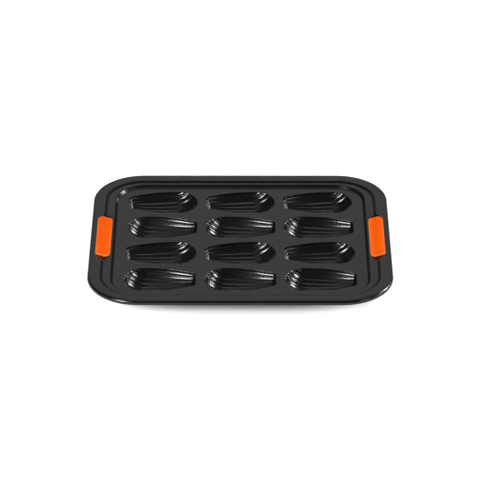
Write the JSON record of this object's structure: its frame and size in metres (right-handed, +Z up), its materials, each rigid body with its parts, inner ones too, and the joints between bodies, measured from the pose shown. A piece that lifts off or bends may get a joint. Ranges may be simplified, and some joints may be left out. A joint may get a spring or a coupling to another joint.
{
  "type": "madeleine pan",
  "caption": "Baking pan with rows of shell-shaped fluted moulds pressed into one coated steel sheet, with a rolled wired rim and a soft grip set into each end.",
  "frame": {"origin": "under the middle of the pan, on the surface that it stands on", "axes": "+X along the pan to the right grip, +Y to the back, +Z up out of the moulds"},
  "size_m": [0.3424, 0.2876, 0.0229],
  "materials": {
    "coated_steel": "dark grey non-stick coating, semi-gloss",
    "steel_wire": "drawn steel wire",
    "silicone": "smooth satin orange silicone"
  },
  "bodies": {
    "root": {"pan_body": "coated_steel", "rim_wire": "steel_wire", "grip_left": "silicone", "grip_right": "silicone"}
  },
  "joints": []
}
